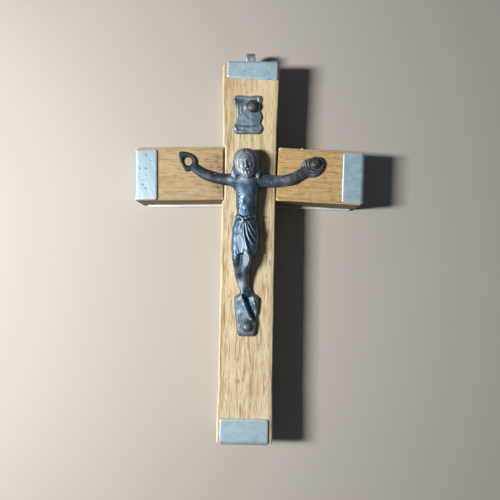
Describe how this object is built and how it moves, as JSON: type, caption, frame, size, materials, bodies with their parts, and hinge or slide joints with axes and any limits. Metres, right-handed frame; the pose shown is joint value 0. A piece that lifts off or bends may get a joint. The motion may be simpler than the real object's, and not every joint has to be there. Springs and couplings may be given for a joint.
{
  "type": "crucifix",
  "caption": "Small wooden crucifix of three blocks on a metal backing, with folded end caps, a hanging loop, a bare nailed title scroll and a nailed cast figure.",
  "frame": {"origin": "on the surface it lies on, under the middle of its outline", "axes": "+X to the viewer's right along the crossbar, +Y to the top of the upright, +Z out of the front face"},
  "size_m": [0.0466, 0.0806, 0.0126],
  "materials": {
    "upright_wood": "pale bare wood, grain along the upright, worn smooth",
    "crossbar_wood": "tan bare wood, grain along the crossbar, short dark pores",
    "white_metal": "dull nickelled sheet, scratched and pitted",
    "dark_casting": "dark blue-black patina on a white-metal casting, worn bright on its high places",
    "nail_metal": "dull brown-grey round heads"
  },
  "bodies": {
    "root": {"upright_beam": "upright_wood", "crossbar_left": "crossbar_wood", "crossbar_right": "crossbar_wood", "back_plate": "white_metal", "top_cap": "white_metal", "bottom_cap": "white_metal", "left_cap": "white_metal", "right_cap": "white_metal", "hanging_loop": "white_metal", "corpus": "dark_casting", "title_scroll": "dark_casting", "title_nail": "nail_metal", "hand_nail": "nail_metal", "foot_nail": "nail_metal"}
  },
  "joints": []
}
